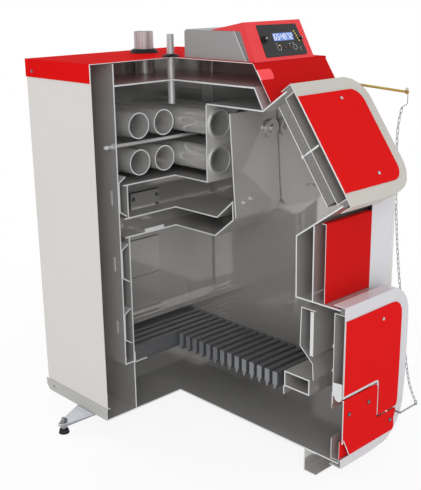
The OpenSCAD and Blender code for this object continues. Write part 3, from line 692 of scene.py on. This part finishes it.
nuts = [cap_nut((side * TIE_X, TIE_Y, TIE_Z), (side, 0, 0)) for side in (-1, 1)]
piece("tie_nuts", nuts, "bright_steel", "boiler")
HATCH = np.array([(-46, 583), (63, 583), (66, 586), (66, 634),
                  (63, 637), (-46, 637), (-49, 634), (-49, 586)])
HATCH_MIDDLE, SHADOW_GROW = np.array([8.5, 610]), np.array([1.05, 1.12])
HATCH_BOLTS = [(-40, 618), (57, 619), (58, 590)]
# painted shadow: a black outline a little larger than the hatch, most of all at top and bottom
hatch_shadow_rim = HATCH_MIDDLE + (HATCH - HATCH_MIDDLE) * SHADOW_GROW
piece("rear_hatch", [pushed(HATCH, on_rear_plate, 1.0, 5.0)], "tube_steel", "boiler")
# the painted shadow round the hatch, as a thin black sheet behind the plate
piece("rear_hatch_seal", [pushed(hatch_shadow_rim, on_rear_plate, -0.2, 1.6)], "rubber_black", "boiler")
hatch_bolts = [hex_bolt(on_rear_plate(x, z, 4.0), FRONT, 5.6, 6.0) for x, z in HATCH_BOLTS]
piece("rear_hatch_bolts", hatch_bolts, "screw_steel", "boiler")
PAN_X, PAN_Y = 2.5, -622.0
pan_bolts = [hex_bolt((PAN_X, PAN_Y, z), REAR, 5.4, 6.5) for z in (340, 269)]
piece("pan_bolts", pan_bolts, "bright_steel", "lower_door")

# %% [markdown]
# The rubber collars of the pipes are moulded with rings, like a short bellows. The small
# collar stands over the missing quarter, so its rings are open there. Two pale lines end
# this part: the sheared edge of the flap's notch, and the seam of the control housing.

# %% Collar rings, notch edge and housing seam
PIPE, SLEEVE = (55, 200), (0, 12)
PIPE_RINGS, SLEEVE_RINGS = ((2.4, 43.2), (5.8, 39.6), (9.0, 38.9)), ((2.6, 24.6), (5.2, 21.2))
MARGIN = 1.2


def collar_ring(at, height, r, wire, gap=None):
    """Moulded ring of a collar; gap is the pair of angles where an open one stops and starts."""
    first, last = (0, 2 * math.pi) if gap is None else (gap[1], gap[0] + 2 * math.pi)
    a = np.linspace(first, last, 72, endpoint=gap is not None)
    path = place3(at[0] + r * np.cos(a), at[1] + r * np.sin(a), LID_Z + height)
    return swept(path, wire, TOP, closed=gap is None)


rings = [collar_ring(PIPE, h, r, 1.1) for h, r in PIPE_RINGS]
for h, r in SLEEVE_RINGS:
    stop = math.pi + math.asin((SLEEVE[1] - CUT_Y + MARGIN) / r) - 2 * MARGIN / r
    start = 1.5 * math.pi - math.asin((SLEEVE[0] - CUT_X) / r) + MARGIN / r
    rings.append(collar_ring(SLEEVE, h, r, 0.9, (stop, start)))
NOTCH = np.array([(-4.4, 66.0), (-1.2, 72.6), (0.2, 74.6), (1.4, 72.2), (14, 46.0), (26.2, 20.7)])
notch_wire = swept(on_front(NOTCH[:, 0], NOTCH[:, 1], 0.2), 1.3, (0, 1, 0))
piece("flap_notch_edge", [notch_wire], "sheet_white", "flap")
piece("collar_rings", rings, "rubber_black", "boiler")
SEAM_X, SEAM = 7.0, np.array([(-243.2, 1147), (-266, 1107.5), (-289, 1067.7)])
seam_wire = swept(place3(SEAM_X, SEAM[:, 0], SEAM[:, 1]), 1.4, (1, 0, 0))
piece("housing_seam", [seam_wire], "trim_grey", "boiler")

# %% [markdown]
# ## Weld beads
# Each fire tube is welded round its ends into the tube plates, and the pipes into the
# jacket's top and back. A bead is a ring with a round section that swells and shrinks a
# little along the way, because it was laid as overlapping dabs.

# %% Weld beads
STEPS, DAB = 120, 4.0


def bead(base, axis, ring_r, b):
    """Ring of weld: section radius b (1 + 0.16 cos(k a)) on a circle of radius ring_r, with k dabs."""
    u, v, w = across(axis)
    a = np.arange(STEPS)[:, None, None] * 2 * math.pi / STEPS
    t = np.arange(8)[None, :, None] * 2 * math.pi / 8
    dabs = round(2 * math.pi * ring_r / DAB)
    swell = b * (1 + 0.16 * np.cos(a * dabs))
    out = np.cos(a) * u + np.sin(a) * v
    points = np.array(base, float) + (ring_r + swell * np.cos(t)) * out - swell * np.sin(t) * w
    return surface(points, ring=True, tube=True)


TUBE_X, TUBE_Z = (-138, -44, 44, 138), (775, 882)
FRONT_PLATE_Y, BACK_PLATE_Y = -144.8, 233.6
RETURN_PIPE = (120, 239.0, 235)
ends = [bead((x, FRONT_PLATE_Y, z), FRONT, 42.0, 4.2) for x in TUBE_X if x > 0 for z in TUBE_Z]
piece("tube_end_welds", ends, "bright_weld", "boiler", sharp=80)
beads = [bead((x, BACK_PLATE_Y, z), FRONT, 39.0, 1.8) for x in TUBE_X for z in TUBE_Z]
beads += [bead((*PIPE, JACKET_Z), TOP, 31.3, 2.0), bead((*SLEEVE, JACKET_Z), TOP, 11.6, 1.4)]
beads += [bead(RETURN_PIPE, REAR, 31.3, 2.0)]
piece("weld_beads", beads, "weld", "boiler", sharp=80)

# %% [markdown]
# ## Draught chain
# The regulator's lever lifts the air flap through a light steel chain. A bent wire hook
# goes through the eye of the lever, and the chain hangs from it in a slack curve, clear
# of both doors, to a ring round the flap's arm. The ring moves with the flap. The path is
# spaced out evenly by its own length, and every link is the same small closed wire,
# turned a quarter from the last.

# %% Path of the chain, and the links
CHAIN_X, LEVER_X = 316.6, 312.0
TIP = np.array([-598.72, 983.32])
HANG = [(-582, 938), (-576, 915), (-571.5, 880), (-571, 850), (-573, 780), (-577, 690), (-583, 610),
        (-590, 540), (-598, 475), (-608, 410), (-619, 335), (-630, 265), (-640, 200), (-651, 148),
        (-664, 112), (-680, 85)]
PITCH, WIRE, LINK_W, LINK_L, HOOK_WIRE = 14.3, 0.95, 8.0, 18.2, 1.1
ARM_Y, RING_Z, RING_R, RING_STRAIGHT = -680.5, 82.0, 3.6, 8.0


def even_steps(path, step):
    """Points and directions every `step` along a path, by its running length."""
    run = np.concatenate([[0], np.cumsum(np.linalg.norm(np.diff(path, axis=0), axis=1))])
    count = int(run[-1] // step)
    at_run = (np.arange(count) + 0.5) * run[-1] / count

    def place(at):
        return np.stack([np.interp(at, run, path[:, k]) for k in (0, 1)], -1)

    way = place(at_run + 1) - place(at_run - 1)
    return place(at_run), np.arctan2(way[:, 1], way[:, 0]), run[-1]


def stadium(r, straight, steps):
    """Two half circles of radius r, joined by straights of that length along the first coordinate."""
    a = (np.arange(steps) + 0.5) * 2 * math.pi / steps
    return r * np.cos(a) + straight / 2 * np.sign(np.cos(a)), r * np.sin(a)


def link(centre, angle, quarter):
    """Closed link: wire on a stadium along the chain's run, rolled by `quarter` about that run."""
    along, sideways = stadium(LINK_W / 2 - WIRE, LINK_L - LINK_W, 16)
    run = np.array([0, math.cos(angle), math.sin(angle)])
    flat = np.array([0, -math.sin(angle), math.cos(angle)])
    side = math.cos(quarter) * flat + math.sin(quarter) * np.array([1.0, 0, 0])
    path = np.array([CHAIN_X, *centre]) + along[:, None] * run + sideways[:, None] * side
    return swept(path, WIRE, np.cross(run, side), closed=True)


centres, angles, length = even_steps(smoothed(HANG), PITCH)
links = [link(c, a, math.pi / 2 * (k % 2)) for k, (c, a) in enumerate(zip(centres, angles))]
y, z = TIP
hook = [(CHAIN_X - 0.6, z + 0.2), (LEVER_X - 6, z), (LEVER_X - 8, z + 5), (LEVER_X - 5, z + 10),
        (LEVER_X, z + 11), (CHAIN_X, z + 8), (CHAIN_X + 0.6, z), (CHAIN_X, z - 10), (CHAIN_X, 954)]
hook = smoothed(hook)
shank = smoothed([(y, 954.6), (y, 952), (y + 3, 948.5), (-583, 941), (-580.5, 938.5), (-581.4, 935.6),
                  (-584.4, 937.2)])
links += [
    swept(place3(hook[:, 0], y, hook[:, 1]), HOOK_WIRE, (0, 1, 0)),
    swept(place3(CHAIN_X, shank[:, 0], shank[:, 1]), HOOK_WIRE, (1, 0, 0)),
]
chain = piece("draught_chain", links, "zinc_steel", "hanging_chain", sharp=60)
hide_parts("chain")
high, across_arm = stadium(RING_R, RING_STRAIGHT, 28)
ring = swept(place3(CHAIN_X, ARM_Y - across_arm, RING_Z + high), WIRE, (1, 0, 0), closed=True)
piece("flap_arm_ring", [ring], "zinc_steel", "flap", sharp=60)
low = centres[-1] + (LINK_L / 2 - WIRE) * np.array([math.cos(angles[-1]), math.sin(angles[-1])])
print("chain:", len(centres), "links over", round(length), "mm, its low end at", np.round(low, 1))

# %% [markdown]
# ## Control face
# The dark face has a lit display, two turning knobs, a row of keys with rings and lamps,
# and a slanting column of small lamps. The display shows plain seven segment numbers:
# each bar is a thin pushed outline, and a table says which bars make a figure.

# %% Display and figures
BARS = {  # column, row, and 1 where the bar lies level
    "a": (0, 0, 1), "b": (1, 0, 0), "c": (1, 1, 0), "d": (0, 2, 1),
    "e": (0, 1, 0), "f": (0, 0, 0), "g": (0, 1, 1),
}
FIGURES = {"2": "abged", "4": "fgbc", "5": "afgcd", "6": "afgedc", "7": "abc", "8": "abcdefg"}
CELL_W, CELL_H, HALF_BAR = 8.2, 7.4, 1.15
SHOWN, SHOWN_X, SHOWN_V = "654872", (108.5, 121.0, 136.5, 149.0, 162.5, 175.0), 39.9


def box_outline(x0, v0, x1, v1, c=0.0):
    """Rectangle on the control face, anticlockwise seen from outside, its corners cut by c."""
    return [(x0, v1 - c), (x0 + c, v1), (x1 - c, v1), (x1, v1 - c),
            (x1, v0 + c), (x1 - c, v0), (x0 + c, v0), (x0, v0 + c)]


def lit(outline):
    """Lit part of the display, a hair proud of its glass."""
    return pushed(outline, on_hood, -0.2, 0.15)


def figure(text, x, v):
    """Seven segment figure: level and upright bars between the corners of two stacked cells."""
    t, bars = HALF_BAR, []
    for key in FIGURES[text]:
        column, row, level = BARS[key]
        x0, v0 = x + column * CELL_W, v + row * CELL_H
        if level:
            bars.append(lit(box_outline(x0 + t, v0 - t, x0 + CELL_W - t, v0 + t, 0.5)))
        else:
            bars.append(lit(box_outline(x0 - t, v0 + t, x0 + t, v0 + CELL_H - t, 0.5)))
    return bars


glass = pushed(box_outline(104.2, 36.2, 186.8, 58.4, 1.0), on_hood, -0.75, -0.15)
piece("display_glass", [glass], "lcd_blue", "boiler")
shown = [bar for text, x in zip(SHOWN, SHOWN_X) for bar in figure(text, x, SHOWN_V)]
shown += [lit(box_outline(132.2, v, 133.8, v + 1.8)) for v in (43, 49)]
piece("display_figures", shown, "lcd_white", "boiler")

# %% [markdown]
# The keys are round and almost flush. Pale rings and triangles mark some of them, small
# red and yellow lamps sit beside them, and both knobs carry a pale dot on the cap.

# %% Rings, caps and lamps on the control face
def face_ring(x, v, r, wire=0.45, n=0.6):
    """Thin wire ring lying on the control face."""
    a = -np.arange(32) * 2 * math.pi / 32
    return swept(on_hood(x + r * np.cos(a), v + r * np.sin(a), n), wire, HOOD_OUT, 6, closed=True)


def face_dot(x, v, r, n=0.6, h=0.7):
    """Small domed lamp on the control face."""
    dome = [(r, 0), (r, h * 0.4), (r * 0.8, h * 0.8), (r * 0.4, h)]
    return turned(dome, on_hood(x, v, n), HOOD_OUT, 16)


KEY_N, LEFT_KNOB_N, RIGHT_KNOB_N = 1.8, 11.0, 7.0
marks = [face_ring(117, 78.5, 7.0), face_ring(182, 79.5, 7.0), face_ring(204, 85.5, 4.6, 0.35)]
marks += [face_dot(65.8, 51.8, 2.6, LEFT_KNOB_N, 0.8), face_dot(215.4, 56, 2.4, RIGHT_KNOB_N, 0.8)]
marks += [face_dot(182.6, 79, 1.5, KEY_N)]
marks += [pushed([(x - 2.2, v + 1.2), (x + 2.2, v + 1.2), (x, v - 1.4)], on_hood, 0.5, 0.75)
          for x, v in ((109, 67), (177, 68), (163, 69))]
piece("face_marks", marks, "mark_white", "boiler")
red = [face_dot(x, 78.8, 2.5, KEY_N) for x in (139.6, 157.2)]
piece("red_lamps", red, "led_red", "boiler")
slant = [(194.4 + k * 2.9, 33.6 + k * 7.0) for k in range(5)]
yellow = [face_dot(x, v, 2.2) for x, v in [*slant, (120.5, 71.7)]]
piece("yellow_lamps", yellow, "led_yellow", "boiler")

# %% [markdown]
# ## Studio
# A pale floor under a white surround, one large soft lamp from the front left, a weaker
# one from the right and one from behind. The floor and the world answer camera, mirror
# and glass rays with plain white, and light the boiler with a gentler level; the floor
# keeps a share of its own shading, which is where the boiler's shadow shows.

# %% Floor and world
def eye_rays(f):
    """1 for rays that show the scene to the eye, straight, in a mirror or through glass; else 0."""
    total = 0
    for which in ("Is Camera Ray", "Is Glossy Ray", "Is Transmission Ray"):
        ray = f.node("ShaderNodeLightPath", out=which)
        total = ray if total == 0 else total.math("MAXIMUM", total, ray)
    return total


class Surround(Finish):
    """The world's own node tree, with the same way of making nodes."""

    def __init__(self):
        self.world = bpy.data.worlds.new("studio")
        self.world.use_nodes = True
        self.tree = self.world.node_tree
        self.shader = self.tree.nodes["Background"]


WORLD_LIGHT, FLOOR_SHADE, REACH = 0.62, 0.12, 14.0
NEAR, FAR = 0.9, 2.0  # distances (m) between which the floor's own shading fades out
surround = Surround()
bpy.context.scene.world = surround.world
surround.look(Color=(1, 1, 1, 1), Strength=WORLD_LIGHT + eye_rays(surround) * (1 - WORLD_LIGHT))

floor_mesh = bpy.data.meshes.new("floor")
floor_mesh.from_pydata(
    [(-REACH, -REACH, 0), (REACH, -REACH, 0), (REACH, REACH, 0), (-REACH, REACH, 0)], [], [(0, 1, 2, 3)]
)
floor = bpy.data.objects.new("floor", floor_mesh)
bpy.context.scene.collection.objects.link(floor)
paint = Finish("floor")
paint.look(Base_Color=(0.96, 0.96, 0.96, 1), Roughness=0.8, Specular_IOR_Level=0.1)
white = paint.node("ShaderNodeEmission", None, (1, 1, 1, 1), 1.0)
own = Sock(paint, paint.shader.outputs[0])
away = paint.node("ShaderNodeVectorMath", {"operation": "LENGTH"}, paint.place, out="Value")
shade = FLOOR_SHADE * (1 - paint.ramp(away, NEAR, FAR))
blend = paint.node("ShaderNodeMixShader", None, eye_rays(paint) * (1 - shade), own, white)
paint.plug(paint.tree.nodes["Material Output"].inputs["Surface"], blend)
floor_mesh.materials.append(paint.material)
print("floor", 2 * REACH, "m wide")


# %% Lamps
def lamp(name, place, aim, size, power):
    """Square area lamp of that size in metres, turned to look at aim."""
    data = bpy.data.lights.new(name, "AREA")
    data.size, data.energy = size, power
    obj = bpy.data.objects.new(name, data)
    turn = Vector(np.subtract(aim, place)).to_track_quat("-Z", "Y").to_matrix().to_4x4()
    obj.matrix_world = Matrix.Translation(place) @ turn
    bpy.context.scene.collection.objects.link(obj)
    return obj


lamp("key", (-2.8, -3.2, 2.5), (0, 0, 0.6), 3.0, 75)
lamp("fill", (3.0, -3.2, 1.8), (0, 0, 0.6), 2.4, 25)
lamp("back", (-1.0, 3.4, 3.0), (0, 0, 0.7), 2.4, 40)
bpy.context.scene.view_settings.view_transform = "Standard"
print("3 lamps")
